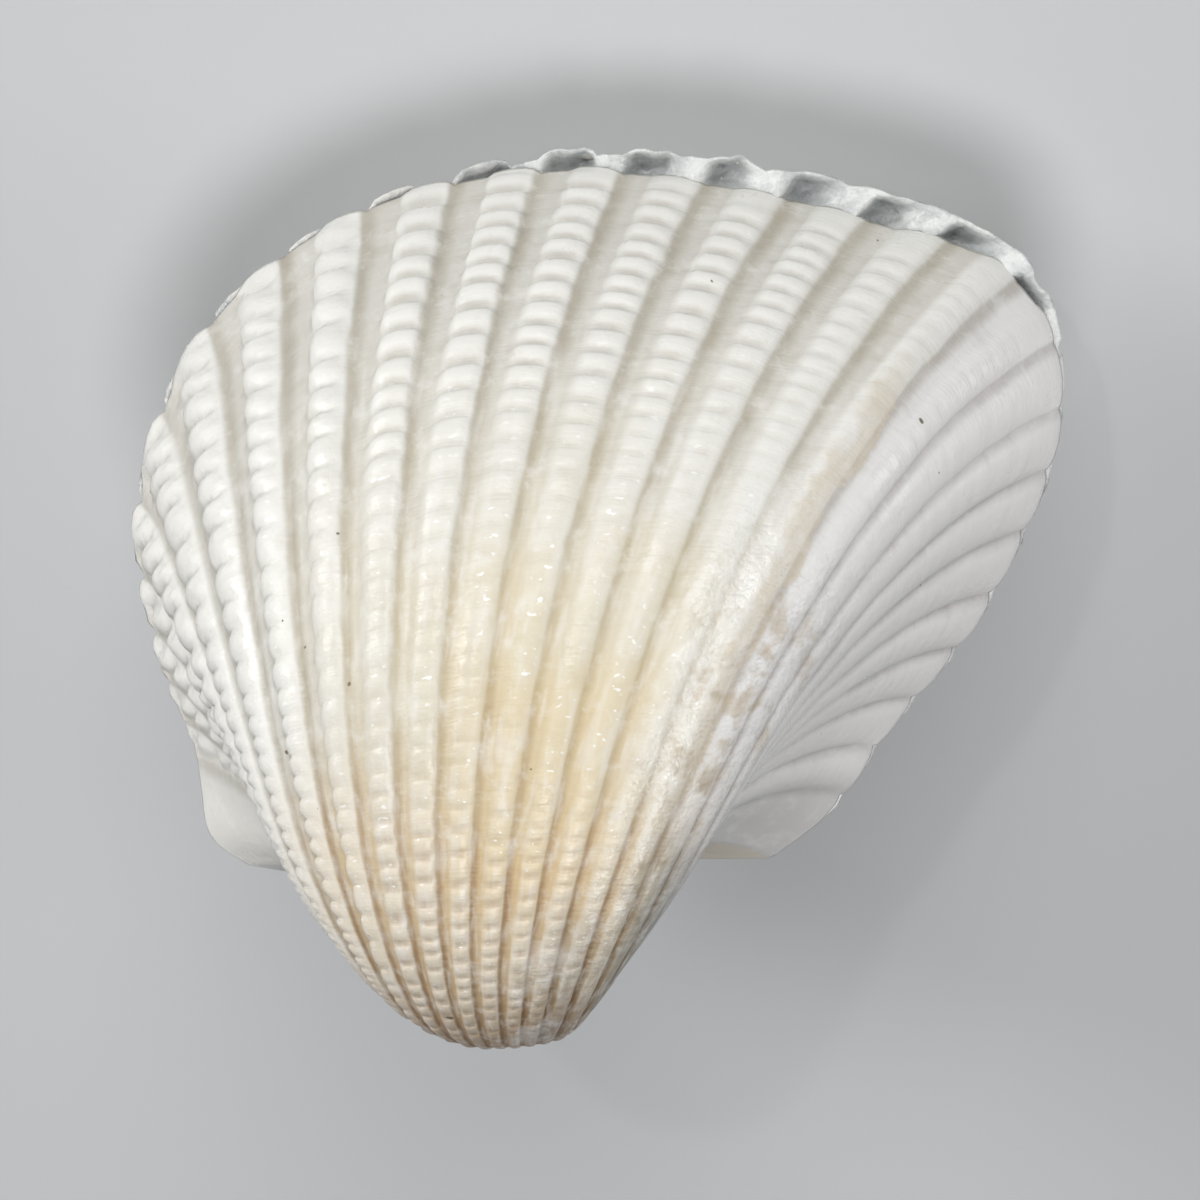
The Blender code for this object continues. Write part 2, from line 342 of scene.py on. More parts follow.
def outline_points(lengths):
    return np.stack([np.interp(lengths, LENGTHS, CURVE[:, axis]) for axis in (0, 1)], axis=-1)


def outline_normals(lengths):
    """Unit vectors in the plane of the opening, pointing out of the shell."""
    ahead = outline_points(np.minimum(lengths + 0.5, EDGE_LENGTH))
    behind = outline_points(np.maximum(lengths - 0.5, 0.0))
    run = (ahead - behind) / np.linalg.norm(ahead - behind, axis=-1, keepdims=True)
    return np.stack((-run[:, 1], run[:, 0]), axis=-1)


def rib_feet():
    """Running lengths of the grooves that end the ribs, after the start of the first rib."""
    feet = [FIRST_RIB_FOOT - RIB_PITCHES[0], FIRST_RIB_FOOT]
    for rank in range(RIB_COUNT - 1):
        feet.append(feet[-1] + float(np.interp(rank, RIB_PITCH_RANKS, RIB_PITCHES)))
    return np.array(feet)


FEET = rib_feet()


def rib_coordinate(lengths):
    """Rib number plus share of its pitch, which runs on past the first and the last rib."""
    inside = np.interp(lengths, FEET, np.arange(len(FEET), dtype=float))
    before = np.minimum(lengths - FEET[0], 0.0) / FRONT_EAR_PITCH
    after = np.maximum(lengths - FEET[-1], 0.0) / REAR_EAR_PITCH
    return inside + before + after


def edge_columns(shift):
    """Running length of each column round the free edge, and its rib coordinate in this valve."""
    lengths = []
    ribs = []
    for rib, (start, end) in enumerate(zip(FEET, FEET[1:])):
        shares = RIB_COLUMNS if rib < FIRST_FINE_RIB else FINE_RIB_COLUMNS
        lengths.extend(start + (shift + share) * (end - start) for share in shares)
        ribs.extend(rib + share for share in shares)
    lengths.append(FEET[-1] + shift * (FEET[-1] - FEET[-2]))
    ribs.append(RIB_COUNT)
    front = np.linspace(0.0, lengths[0], EAR_COLUMNS + 1)[:-1]
    rear = np.linspace(lengths[-1], EDGE_LENGTH, EAR_COLUMNS + 1)[1:]
    front_ribs = (front - lengths[0]) / FRONT_EAR_PITCH
    rear_ribs = RIB_COUNT + (rear - lengths[-1]) / REAR_EAR_PITCH
    return np.concatenate((front, lengths, rear)), np.concatenate((front_ribs, ribs, rear_ribs))


# ---- relief of one valve ---------------------------------------------------------------------

def rank_of(ribs):
    """The rib that each column belongs to. The ears belong to the first and the last one."""
    return np.clip(np.floor(ribs), 0, RIB_COUNT - 1)


def at_rib(ribs, ranks, values):
    """Value for the rib that each column belongs to."""
    return np.interp(rank_of(ribs), ranks, values)


def within_ribs(ribs):
    return smooth_step(-0.6, 0.0, ribs) * smooth_fall(RIB_COUNT, RIB_COUNT + 0.6, ribs)


def pitch_share(ribs):
    """How far each column lies across its rib's pitch, from 0 to 1."""
    return np.clip(ribs, 0, RIB_COUNT - 1e-6) % 1.0


def toward(value, limit, share):
    """Value drawn down to a limit by a share, where it is higher."""
    return value + (np.minimum(value, limit) - value) * share


def rib_form(ribs, bulge=0.0, middle=0.0, rise_between=None):
    """How far each column stands from the floor of its groove (0) to the top of its rib (1)."""
    share = pitch_share(ribs)
    fall = at_rib(ribs, SHAPE_RANKS, FALL_START)
    power = at_rib(ribs, SHAPE_RANKS, FALL_POWER)
    start, end = rise_between or (
        at_rib(ribs, SHAPE_RANKS, RISE_START), at_rib(ribs, SHAPE_RANKS, RISE_END))
    start = toward(start, MIDDLE_RISE[0], middle)
    end = toward(end, MIDDLE_RISE[1], middle)
    rise = smooth_step(start, end, share + bulge)
    drop = 1.0 - np.clip((share - fall) / (1.0 - fall), 0.0, 1.0) ** power
    return rise * drop * within_ribs(ribs)


def rod_form(ribs):
    """The same for the round ribs of the beak, with a flat groove in front of each of them."""
    groove = at_rib(ribs, ROD_RANKS, ROD_GROOVES)
    across = np.clip((pitch_share(ribs) - groove) / (1.0 - groove), 0.0, 1.0)
    return np.sqrt(1.0 - (2.0 * across - 1.0) ** 2) * within_ribs(ribs)


def bead_phase(ribs, turn, seed):
    """Number of the bead at each point, with a crevice wherever it is whole."""
    rng = np.random.default_rng(seed)
    offsets = rng.uniform(0.0, 1.0, RIB_COUNT)
    wander = rng.uniform(0.0, 2 * math.pi, (RIB_COUNT, 3))
    rank = rank_of(ribs).astype(int)
    share = ribs % 1.0
    roundness = at_rib(ribs, BEAD_RANKS, BEAD_ROUNDNESS) * smooth_step(0.03, 0.2, turn)
    bow = (-0.004 + 0.018 * roundness) * np.cos(math.pi * (share - RIB_MIDDLE) / 0.6)
    slant = at_rib(ribs, KNOB_RANKS, KNOB_SLANTS) * (share - 0.6)
    turn = turn + bow - slant * within_ribs(ribs)
    marks = np.linspace(-0.1, BEAK_TURN + 0.1, 500)
    counts = []
    for growth in (BAR_GROWTH, KNOB_GROWTH):
        steps = 1.0 / np.interp(marks, BEAD_GROWTH_TURNS, growth)
        counts.append(np.interp(turn, marks, np.cumsum(steps) * (marks[1] - marks[0])))
    bars, knobs = counts
    count = bars + (knobs - bars) * at_rib(ribs, BEAD_GROWTH_RANKS, (1.0, 0.0))
    phase = count / at_rib(ribs, BEAD_RANKS, BEAD_STEPS) + offsets[rank]
    for i, (rate, reach) in enumerate(BEAD_WANDER):
        phase = phase + reach * np.sin(rate * turn + wander[rank, i])
    return phase


def bead_crest(phase, ribs, roundness):
    """A bar rises steeply on the side of the edge and slopes towards the beak. A knob is a dome."""
    along = phase % 1.0
    bar = smooth_step(0.0, 0.26, along) * smooth_fall(0.48, 0.92, along)
    share = ribs % 1.0
    middle = at_rib(ribs, KNOB_RANKS, KNOB_MIDDLES)
    aside = (share - middle) / at_rib(ribs, KNOB_RANKS, KNOB_REACHES)
    knob = np.clip(1.0 - ((along - 0.5) / KNOB_HALF_LENGTH) ** 2 - aside ** 2, 0.0, 1.0) ** 0.6
    knob = np.maximum(knob, 0.35 * smooth_step(middle, middle + 0.2, share))
    return bar + (knob - bar) * roundness


def bead_strength(ribs, turn):
    """How tall the beads stand: full near the edge, rubbed half way, finer towards the beak."""
    worn = smooth_step(0.25, 0.68, turn) * (1.0 - 0.8 * smooth_step(0.95, 1.35, turn))
    start = at_rib(ribs, BEAD_RANKS, BEAD_STARTS)
    edge = smooth_step(start, start + 0.025, turn)
    beak = smooth_fall(2.3, 3.2, turn)
    return edge * beak * (1.0 - worn * at_rib(ribs, WEAR_RANKS, MIDDLE_WEAR))


def relief(lengths, ribs, turn, seed, left):
    """Heights of the grid over the shell's outline, with the values that the colours use."""
    share = ribs % 1.0
    on_ribs = within_ribs(ribs)
    phase = bead_phase(ribs, turn, seed)
    roundness = at_rib(ribs, BEAD_RANKS, BEAD_ROUNDNESS)
    crests = bead_crest(phase, ribs, roundness)
    strength = bead_strength(ribs, turn)
    bulge = at_rib(ribs, BEAD_RANKS, BEAD_BULGES) * (crests - 0.6) * strength

    # Ribs: as they grew, widened half way, round at the beak, and set for the edge
    middle = smooth_step(*MIDDLE_TURNS, turn) * at_rib(ribs, MIDDLE_RANKS, MIDDLE_SHARES)
    lead = BEAK_LEAD * smooth_step(*BEAK_LEAD_RANKS, rank_of(ribs))
    beak = smooth_step(*BEAK_TURNS, turn + lead)
    form = rib_form(ribs, bulge, middle)
    form = form + (rod_form(ribs) - form) * beak
    near_edge = smooth_fall(0.0, FLARE_TURNS[0 if left else 1], turn)
    if left:
        form = form + (rib_form(ribs, rise_between=EDGE_RISE) - form) * near_edge

    # Grooves, with the creases in them
    flare = np.interp(ribs, *zip(*(LEFT_FLARES if left else RIGHT_FLARES))) * near_edge
    floor = at_rib(ribs, SHAPE_RANKS, FLOOR_DEPTH)
    floor = floor + (np.interp(lengths, EAR_LENGTHS, EAR_DEPTHS) - floor) * (1.0 - on_ribs)
    gain = at_rib(ribs, ROD_RANKS, ROD_DEPTH_GAINS) * beak
    depth = floor * (1.0 - flare) * (1.0 - MIDDLE_DEPTH_LOSS * middle + gain)
    crease = np.exp(-(np.minimum(share, 1 - share) / CREASE_REACH) ** 2) * on_ribs
    crease = at_rib(ribs, SHAPE_RANKS, CREASE_DEPTH) * crease * (1.0 - 0.6 * flare)

    # Tops, with their beads
    crown = TOP_CROWN + KNOB_CROWN * roundness
    crown = crown * np.abs((share - RIB_MIDDLE) / 0.24).clip(0, 1) ** 2 * on_ribs
    bead_height = at_rib(ribs, BEAD_RANKS, BEAD_HEIGHTS)
    height = -depth * (1.0 - form) - crease - crown * form
    height = height - bead_height * strength * (1.0 - crests) * form
    height = height + at_rib(ribs, SHAPE_RANKS, TOP_HEIGHT) * form
    height = height - LIP_DROP * smooth_fall(0.0, LIP_TURN, turn) * form
    for centre, width, swell in BEAK_SWELLS:
        along = np.exp(-((turn - BEAK_SWELL_TURN) / BEAK_SWELL_SPREAD) ** 2)
        height = height + swell * along * np.exp(-((ribs - centre) / width) ** 2)

    across = 1.0 - 0.8 * np.clip(np.abs(share - 0.64) / 0.30, 0.0, 1.0) ** 2.5
    beads = strength * np.minimum(bead_height / 0.3, 1.0) * form * (on_ribs * across)
    tops = form + (1.0 - form) * (1.0 - on_ribs)
    return height, {"form": tops, "beads": beads, "phase": phase}


def edge_offset(lengths, turn, left):
    """How far each point stands past the outline where the valves meet."""
    if not left:
        return np.interp(lengths, LIFT_LENGTHS, LIFTS) * smooth_fall(0.0, LIFT_TURN, turn)
    chips = np.zeros(len(lengths))
    for middle, reach, height in EDGE_CHIPS:
        chips += height * np.clip(1.0 - np.abs(lengths - middle) / reach, 0.0, 1.0)
    return np.interp(lengths, OVERLAP_LENGTHS, OVERLAPS) + chips * smooth_fall(0.0, LIP_TURN, turn)


# ---- grid of one valve -----------------------------------------------------------------------

def growth_rows():
    turns = [np.array((0.0,))]
    start = 0.0
    for end, rows in GROWTH_STRETCHES:
        turns.append(np.linspace(start, end, rows + 1)[1:])
        start = end
    return np.concatenate(turns)


def shrink(turns):
    return np.exp(-SHRINK_RATE * turns - SHRINK_GAIN * turns ** 2)


def along_spiral(arm, turns):
    """Where the growth spiral takes arms from its centre: turned about its axis and shrunk."""
    cosine = np.cos(turns)[..., None]
    sine = np.sin(turns)[..., None]
    along = (arm @ SPIRAL_AXIS)[..., None] * SPIRAL_AXIS
    spun = arm * cosine + np.cross(SPIRAL_AXIS, arm) * sine + along * (1.0 - cosine)
    return SPIRAL_CENTRE + shrink(turns)[..., None] * spun


def roll_into_beak(flat, turn):
    """Points of the opening's plane, one row for each turn, after the spiral has turned them."""
    arm = np.concatenate((flat, np.zeros(flat.shape[:-1] + (1,))), axis=-1) - SPIRAL_CENTRE
    swept = along_spiral(arm, turn)
    swept[..., 2] = swept[..., 2] * DEPTH_FACTOR + EDGE_CLEARANCE
    return swept


def hinge_height(x):
    """Where the hinge line runs: it dips a little in front of the beaks."""
    return -np.interp(x, HINGE_DIP_PLACES, HINGE_DIPS)


def with_hinge(free_edge):
    """Rows of the free edge, each closed by a run along the hinge line."""
    front = free_edge[:, :1]
    rear = free_edge[:, -1:]
    shares = (np.arange(1, HINGE_COLUMNS) / HINGE_COLUMNS)[None, :, None]
    run = rear + (front - rear) * shares
    run[..., 1] = hinge_height(run[..., 0])
    return np.concatenate((free_edge, run), axis=1)


def flat_rows(lengths, heights):
    """Rows of points in the opening's plane: the outline moved out by the heights."""
    points = outline_points(lengths)[None] + outline_normals(lengths)[None] * heights[..., None]
    points[..., 1] = np.maximum(points[..., 1], hinge_height(points[..., 0]))
    return with_hinge(points)


def margin_wave(lengths):
    """Height of the line where the valves meet: it dips at the right valve's ribs."""
    ribs = rib_coordinate(lengths)
    wave = -MARGIN_WAVE * (2.0 * rib_form(ribs) - 1.0)
    return wave * smooth_step(-0.5, 1.0, ribs) * smooth_fall(RIB_COUNT - 1, RIB_COUNT + 0.5, ribs)


def hollow_rows(lengths, offset, turn):
    """The smooth outline drawn inwards by the wall, which keeps its thickness as it shrinks."""
    smooth = flat_rows(lengths, offset[None, :] - HOLLOW_INSET)[0]
    middle = smooth.mean(axis=0)
    reach = np.abs(smooth - middle).max(axis=0).min()
    size = shrink(turn)[..., None]
    rows = smooth[None] + (middle - smooth)[None] * WALL / (reach * size)
    on_hinge = smooth[:, 1] < NEAR_HINGE
    rows[:, on_hinge, 1] += (HINGE_WALL - WALL) / size[:, :, 0]
    return rows


def hinge_chevrons(x, turn):
    """Number of V-grooves between each point and the hinge's middle, and how clear they are."""
    aside = np.abs(x - SPIRAL_CENTRE[0])
    count = (CHEVRON_SLOPE * aside + CHEVRON_TURN * turn) / CHEVRON_PITCH
    clear = smooth_step(0.0, 0.04, turn) * smooth_fall(1.2, 1.8, turn)
    column = np.arange(len(x))
    ends = np.clip(np.minimum(column, len(x) - 1 - column) / 2.0, 0.0, 1.0)
    return {"chevrons": count, "grooved": clear * ends}


def edge_rows(outer, hollow, deep, free, rng):
    """Rows over the edge, from its outer side to the hollow, and how deep its sockets are there."""
    rows = []
    sockets = []
    for share in EDGE_SHARES:
        row = outer + (hollow - outer) * share
        hole = smooth_step(0.04, 0.26, share) * smooth_fall(0.5, 0.95, share)
        rough = EDGE_ROUGHNESS * hole * rng.uniform(-1.0, 1.0, len(row))
        rough[free:] = 0.0
        row[:, 2] += hole * deep + rough
        rows.append(row)
        sockets.append(hole * deep)
    return np.array(rows), np.array(sockets)


def valve_grid(shift, seed, left):
    """Rows of points from the floor of the hollow, over the edge, to the tip of the beak."""
    lengths, ribs = edge_columns(shift)
    free = len(lengths)
    turns = growth_rows()
    turn = turns[:, None]
    heights, values = relief(lengths, ribs, turn, seed, left)
    offset = edge_offset(lengths, turn, left)
    outer = roll_into_beak(flat_rows(lengths, heights + offset), turn)
    columns = outer.shape[1]
    wave = np.zeros(columns)
    wave[:free] = margin_wave(lengths) * (-1.0 if left else 1.0)
    outer[..., 2] += wave * np.exp(-turn / MARGIN_WAVE_TURN)
    hollow_turns = np.linspace(0.0, HOLLOW_TURN, HOLLOW_ROWS + 1)
    hollow_turn = hollow_turns[:, None]
    hollow = hollow_rows(lengths, offset[len(turns) // 2], hollow_turn)
    hollow = roll_into_beak(hollow, hollow_turn)
    hollow[..., 2] += HOLLOW_WAVE * wave * np.exp(-hollow_turn / MARGIN_WAVE_TURN)
    deep = np.zeros(columns)
    tooth = (values["form"][0] * within_ribs(ribs)) ** 1.5
    deep[:free] = np.interp(ribs, SOCKET_RANKS, SOCKET_DEPTHS) * tooth
    edge, sockets = edge_rows(outer[0], hollow[0], deep, free, np.random.default_rng(seed + 1))

    first_outer = len(hollow) + len(edge)
    chevrons = hinge_chevrons(outer[0, free:, 0], turn)
    masks = {}
    for fields, run in ((values, slice(0, free)), (chevrons, slice(free, columns))):
        for key, field in fields.items():
            masks[key] = np.zeros((first_outer + len(turns), columns))
            masks[key][first_outer:, run] = field
    masks["socket"] = np.zeros((first_outer + len(turns), columns))
    masks["socket"][len(hollow):first_outer] = sockets[::-1]
    points = np.concatenate((hollow[::-1], edge[::-1], outer))
    if left:
        points[..., 2] *= -1.0
    return {
        "points": points,
        "u": np.concatenate((ribs, ribs[-1] + HINGE_RIB_STEP * np.arange(1, HINGE_COLUMNS + 1))),
        "v": np.concatenate((-1.0 - hollow_turns[::-1], np.array(EDGE_SHARES)[::-1] - 1.0, turns)),
        "masks": masks, "free": free, "first_outer": first_outer,
    }


def to_ground(points):
    """From the shell's own frame to the ground, in metres, with the cheek flat where it rests."""
    turn = np.array(Matrix.Rotation(math.radians(REST_PITCH), 3, "X"))
    placed = (points @ turn.T + np.array(REST_PLACE)) * MM
    placed[..., 2] = np.maximum(placed[..., 2], 0.0)
    return placed


def ring_faces(rows, columns):
    """Points of rows that each close on themselves, their neighbours, and the faces between."""
    index = np.arange(rows * columns).reshape(rows, columns)
    ahead = np.roll(index, -1, axis=1)
    quads = np.stack((index[:-1], ahead[:-1], ahead[1:], index[1:]), axis=-1).reshape(-1, 4)
    return index, ahead, quads


def faces_inwards(vertices, quads):
    first, second, third = (vertices[quads[:, k]] - vertices.mean(axis=0) for k in (0, 1, 2))
    return np.einsum("ij,ij->i", first, np.cross(second, third)).sum() < 0


def add_values(mesh, name, values):
    attribute = mesh.attributes.new(name, "FLOAT", "POINT")
    attribute.data.foreach_set("value", values.astype(np.float32))


def add_growth_map(mesh, grid, quad_count, fan_count):
    """UV map of rib number and growth turn, which runs on where the last column meets the first."""
    rows, columns = grid["points"].shape[:2]
    column_of = np.concatenate((np.tile(np.arange(columns), rows), (0, 0)))
    row_of = np.concatenate((np.repeat(np.arange(rows), columns), (0, rows - 1)))
    corners = np.zeros(len(mesh.loops), np.int32)
    mesh.loops.foreach_get("vertex_index", corners)
    column = column_of[corners]
    sides = np.concatenate((np.full(quad_count, 4), np.full(fan_count, 3)))
    face_of = np.repeat(np.arange(len(sides)), sides)
    at_seam = np.zeros(len(sides), bool)
    np.logical_or.at(at_seam, face_of, column == columns - 1)
    u = np.where(at_seam[face_of] & (column == 0), grid["u"][-1], grid["u"][column])
    place = np.stack((u, grid["v"][row_of[corners]]), axis=-1)
    layer = mesh.uv_layers.new(name="Growth", do_init=False)
    layer.uv.foreach_set("vector", place.astype(np.float32).ravel())


def grid_mesh(name, grid, materials):
    """Closed mesh of a valve's grid, with a fan at each end, its UV map and its colour masks."""
    points = to_ground(grid["points"])
    rows, columns = points.shape[:2]
    index, ahead, quads = ring_faces(rows, columns)
    floor_end, beak_end = (np.full(columns, rows * columns + k) for k in (0, 1))
    fans = np.concatenate((
        np.stack((ahead[0], index[0], floor_end), axis=-1),
        np.stack((index[-1], ahead[-1], beak_end), axis=-1)))
    vertices = np.concatenate(
        (points.reshape(-1, 3), points[:1].mean(axis=1), points[-1:].mean(axis=1)))
    if faces_inwards(vertices, quads):
        quads = quads[:, ::-1]
        fans = fans[:, ::-1]
    mesh = bpy.data.meshes.new(name)
    mesh.from_pydata(vertices.tolist(), [], quads.tolist() + fans.tolist())
    add_growth_map(mesh, grid, len(quads), len(fans))
    for key, field in grid["masks"].items():
        add_values(mesh, key, np.concatenate((field.ravel(), (field[0, 0], field[-1, 0]))))
    for material in materials:
        mesh.materials.append(material)
    row, column = np.divmod(quads.min(axis=1), columns)
    hinge = (column >= grid["free"] - 1) & (row >= grid["first_outer"])
    slots = np.where(row < grid["first_outer"], INSIDE, OUTSIDE)
    slots = np.where(hinge, HINGE, slots)
    slots = np.concatenate((slots, np.full(columns, INSIDE), np.full(columns, OUTSIDE)))
    mesh.polygons.foreach_set("material_index", slots.astype(np.int32))
    mesh.shade_smooth()
    mesh.update()
    return mesh


# ---- ligament --------------------------------------------------------------------------------

def ligament_mesh(name, material):
    """Closed band along both hinge walls, with slanting wrinkles, ragged borders and a seam."""
    rng = np.random.default_rng(LIGAMENT_SEED)
    stations = np.linspace(0.0, 1.0, LIGAMENT_STATIONS + 1)
    x = LIGAMENT_FRONT + (LIGAMENT_REAR - LIGAMENT_FRONT) * stations
    waves = rng.uniform(0.0, 2 * math.pi, 6)
    ragged = 1.0
    for (rate, size), wave in zip(BORDER_WAVES, waves):
        ragged = ragged + size * np.sin(rate * x + wave)
    reach = LIGAMENT_END_TURN + LIGAMENT_TURN * np.sin(math.pi * stations)
    reach = reach * np.minimum(ragged, 1.0)
    across = np.linspace(-1.0, 1.0, 2 * LIGAMENT_HALF_COLUMNS + 1)
    turns = np.abs(across) * reach[:, None]
    line = np.stack(np.broadcast_arrays(x[:, None], 0.0 * turns, 0.0 * turns), axis=-1)
    lower = along_spiral(line - SPIRAL_CENTRE, turns)
    lower[..., 2] = (lower[..., 2] * DEPTH_FACTOR) * np.sign(across)
    lower[..., 1] -= LIGAMENT_GAP

    side = np.sign(x - SPIRAL_CENTRE[0])[:, None]
    phase = x[:, None] / WRINKLE_PITCH + WRINKLE_SLANT * np.abs(across) * side
    phase = phase + 0.25 * np.sin(0.9 * x + waves[3])[:, None]
    phase = phase + 0.12 * np.sin(7.0 * across + waves[4])
    wrinkles = WRINKLE_HEIGHT * np.abs(np.sin(math.pi * phase))
    wrinkles = wrinkles + 0.03 * np.sin(2 * math.pi * 3.1 * phase)
    seam = 0.16 * np.exp(-(across / 0.05) ** 2) * (1.0 + 0.5 * np.sin(3.0 * x + waves[5]))[:, None]
    border = np.clip((1.0 - np.abs(across)) / 0.14, 0.0, 1.0) ** 0.5
    ends = np.clip(np.minimum(stations, 1.0 - stations) / 0.02, 0.0, 1.0) ** 0.5
    thick = (LIGAMENT_THICKNESS - 0.14 + wrinkles - seam) * border * ends[:, None] + 0.02
    upper = lower.copy()
    upper[..., 1] -= thick

    ring = np.concatenate((lower, upper[:, ::-1]), axis=1)
    index, _, quads = ring_faces(*ring.shape[:2])
    vertices = to_ground(ring).reshape(-1, 3)
    caps = [index[0][::-1].tolist(), index[-1].tolist()]
    if faces_inwards(vertices, quads):
        quads = quads[:, ::-1]
        caps = [cap[::-1] for cap in caps]
    mesh = bpy.data.meshes.new(name)
    mesh.from_pydata(vertices.tolist(), [], quads.tolist() + caps)
    folds = (wrinkles / WRINKLE_HEIGHT * border - 3.0 * seam)[:, ::-1]
    add_values(mesh, "folds", np.concatenate((np.zeros_like(folds), folds), axis=1).ravel())
    mesh.materials.append(material)
    mesh.shade_smooth()
    mesh.update()
    return mesh


# ---- materials -------------------------------------------------------------------------------

class Value:
    """Output of a node, which can be added, multiplied and faded like a number."""

    def __init__(self, tree, socket):
        self.tree = tree
        self.socket = socket

    def node(self, kind, *values):
        """New node whose first inputs take the values, each of them an output or a constant."""
        node = self.tree.nodes.new(kind)
        for socket, value in zip(node.inputs, values):
            put(self.tree, socket, value)
        return node

    def calc(self, operation, *values):
        node = self.node("ShaderNodeMath", *values)
        node.operation = operation
        return Value(self.tree, node.outputs[0])

    def __add__(self, other):
        return self.calc("ADD", self, other)

    def __sub__(self, other):
        return self.calc("SUBTRACT", self, other)

    def __rsub__(self, other):
        return self.calc("SUBTRACT", other, self)

    def __mul__(self, other):
        return self.calc("MULTIPLY", self, other)

    def __truediv__(self, other):
        return self.calc("DIVIDE", self, other)

    def most(self, other):
        return self.calc("MAXIMUM", self, other)

    def fract(self):
        return self.calc("FRACT", self)

    def fade(self, low, high, start=0.0, end=1.0):
        """A smooth change from start to end while the value goes from low to high."""
        node = self.node("ShaderNodeMapRange", self, low, high, start, end)
        node.interpolation_type = "SMOOTHSTEP"
        return Value(self.tree, node.outputs["Result"])

    def band(self, rise, fall, rest=0.0):
        """1 between a smooth rise and a smooth fall, each given by its two ends."""
        return self.fade(*rise) * self.fade(*fall, 1.0, rest)

    def mix(self, first, second, mode="MIX"):
        """Colour that goes from the first to the second by this value."""
        node = self.tree.nodes.new("ShaderNodeMix")
        node.data_type = "RGBA"
        node.blend_type = mode
        for socket, value in zip((0, 6, 7), (self, first, second)):
            put(self.tree, node.inputs[socket], value)
        return Value(self.tree, node.outputs[2])

    def stretched(self, scale):
        node = self.node("ShaderNodeMapping", self)
        node.inputs["Scale"].default_value = scale
        return Value(self.tree, node.outputs["Vector"])

    def noise(self, scale, detail=3.0, roughness=0.5):
        node = self.node("ShaderNodeTexNoise", self)
        node.inputs["Scale"].default_value = scale
        node.inputs["Detail"].default_value = detail
        node.inputs["Roughness"].default_value = roughness
        return Value(self.tree, node.outputs["Fac"])

    def bump(self, strength, distance, normal=None):
        """Normal of a surface with this height, on top of another bump if there is one."""
        node = self.tree.nodes.new("ShaderNodeBump")
        node.inputs["Strength"].default_value = strength
        node.inputs["Distance"].default_value = distance
        put(self.tree, node.inputs["Height"], self)
        if normal:
            put(self.tree, node.inputs["Normal"], normal)
        return Value(self.tree, node.outputs["Normal"])


def put(tree, socket, value):
    """Feeds a socket from a node's output, or sets it to a number, a colour or a vector."""
    if isinstance(value, Value):
        tree.links.new(value.socket, socket)
    else:
        socket.default_value = value


def new_material(name, roughness):
    material = bpy.data.materials.new(name)
    material.use_nodes = True
    shader = material.node_tree.nodes["Principled BSDF"]
    shader.inputs["Roughness"].default_value = roughness
    return material, material.node_tree, shader


def finish_with(tree, shader, colour, roughness, normal):
    put(tree, shader.inputs["Base Color"], colour)
    put(tree, shader.inputs["Roughness"], roughness)
    put(tree, shader.inputs["Normal"], normal)


def growth_place(tree):
    """The shell's own coordinates: rib number along X, turn of growth along Y."""
    node = tree.nodes.new("ShaderNodeUVMap")
    node.uv_map = "Growth"
    return Value(tree, node.outputs["UV"])


def rib_and_turn(growth):
    """The same as two numbers."""
    node = growth.node("ShaderNodeSeparateXYZ", growth)
    return Value(growth.tree, node.outputs["X"]), Value(growth.tree, node.outputs["Y"])


def mask(tree, name):
    node = tree.nodes.new("ShaderNodeAttribute")
    node.attribute_name = name
    return Value(tree, node.outputs["Fac"])


def object_place(tree):
    return Value(tree, tree.nodes.new("ShaderNodeTexCoord").outputs["Object"])


def growth_line_group():
    """Fine lines of growth across the ribs, as a height and as masks of darker and lighter ones."""
    group = bpy.data.node_groups.new("growth_lines", "ShaderNodeTree")
    group.interface.new_socket("Growth", in_out="INPUT", socket_type="NodeSocketVector")
    for name in ("Height", "Dark Lines", "Light Lines"):
        group.interface.new_socket(name, in_out="OUTPUT", socket_type="NodeSocketFloat")
    growth = Value(group, group.nodes.new("NodeGroupInput").outputs["Growth"])
    end = group.nodes.new("NodeGroupOutput")
    fine = growth.stretched((1.6, 150.0, 1.0)).noise(1.0, 3.0, 0.6)
    broad = growth.stretched((0.9, 34.0, 1.0)).noise(1.0, 3.0, 0.6)
    put(group, end.inputs["Height"], fine * 0.55 + broad * 0.45)
    put(group, end.inputs["Dark Lines"], broad.fade(0.52, 0.70))
    put(group, end.inputs["Light Lines"], broad.fade(0.47, 0.30))
    return group


def grown_lines(growth, group):
    """Height, dark lines and light lines."""
    node = growth.tree.nodes.new("ShaderNodeGroup")
    node.node_tree = group
    put(growth.tree, node.inputs["Growth"], growth)
    return [Value(growth.tree, output) for output in node.outputs]


def bead_gap(phase, rib, share):
    """Crevices between the beads: straight ones between bars, the rim in front of each knob."""
    bead = phase.fract()
    along = (bead - 0.5) / KNOB_HALF_LENGTH
    aside = share - rib.fade(5.0, 8.0, *KNOB_MIDDLES[:2])
    aside = aside / rib.fade(5.0, 8.0, *KNOB_REACHES[:2])
    reach = along * along + aside * aside
    knobbed = rib.fade(8.6, 9.6, 1.0, 0.0)
    bar_gap = bead.fade(0.02, 0.16, 1.0, 0.0).most(bead.fade(0.62, 0.88))
    knob_gap = reach.fade(0.75, 1.0) * reach.fade(1.6, 1.15, 0.1, 1.0)
    knob_gap = knob_gap * share.fade(0.50, 0.74, 1.0, 0.2)
    return bar_gap * (1.0 - knobbed) + knob_gap * knobbed


